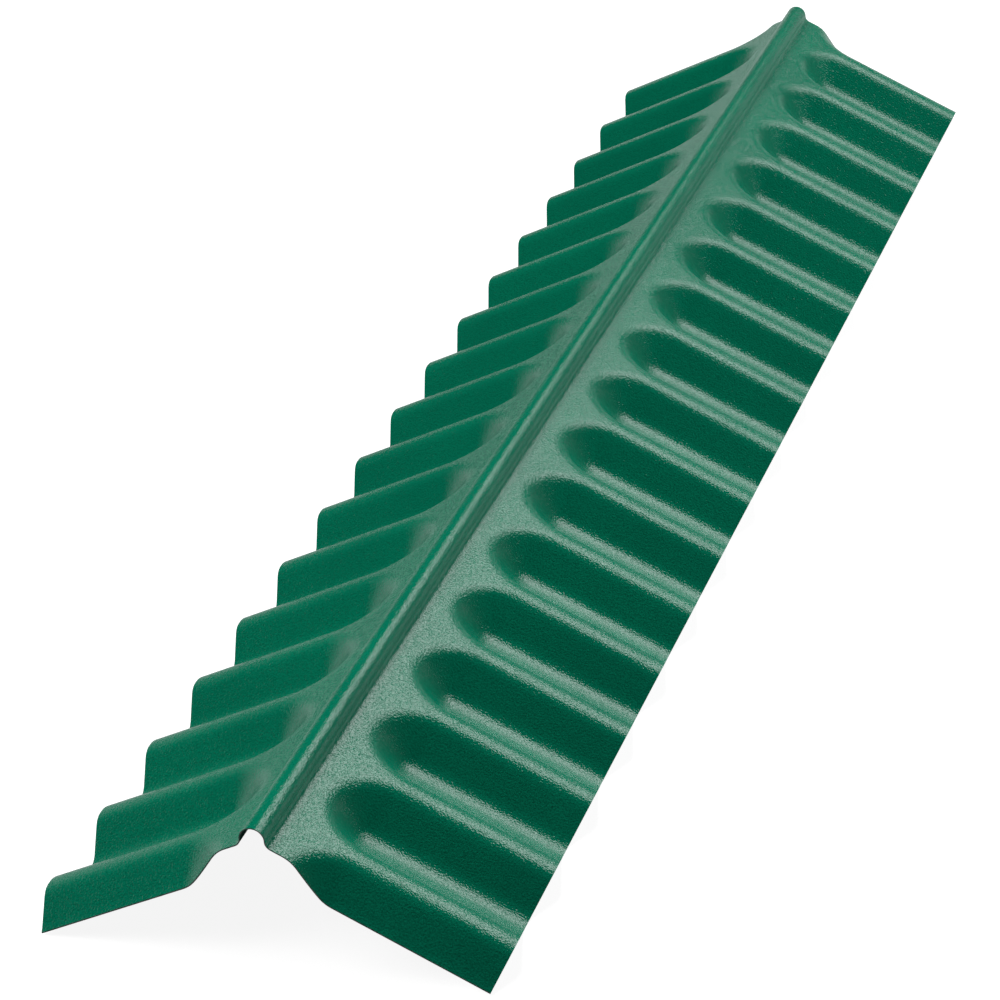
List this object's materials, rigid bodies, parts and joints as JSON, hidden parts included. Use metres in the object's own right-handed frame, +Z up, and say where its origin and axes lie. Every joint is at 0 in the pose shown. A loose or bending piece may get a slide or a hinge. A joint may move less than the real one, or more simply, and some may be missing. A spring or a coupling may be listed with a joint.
{
  "type": "roof ridge cap",
  "caption": "Thin pressed sheet cap for a roof ridge: round roll and flat lands along the top, two sloping wings with flutes that start in rounded scoops and run to square-cut edges.",
  "frame": {"origin": "centre of the footprint, on the floor that the two wing edges stand on", "axes": "+Y along the ridge, +X across to the right-hand wing, +Z up"},
  "size_m": [0.2708, 1.276, 0.0867],
  "materials": {
    "coated_sheet": "matt green coating with a fine leathery grain"
  },
  "bodies": {
    "root": {"ridge_cap": "coated_sheet"}
  },
  "joints": []
}
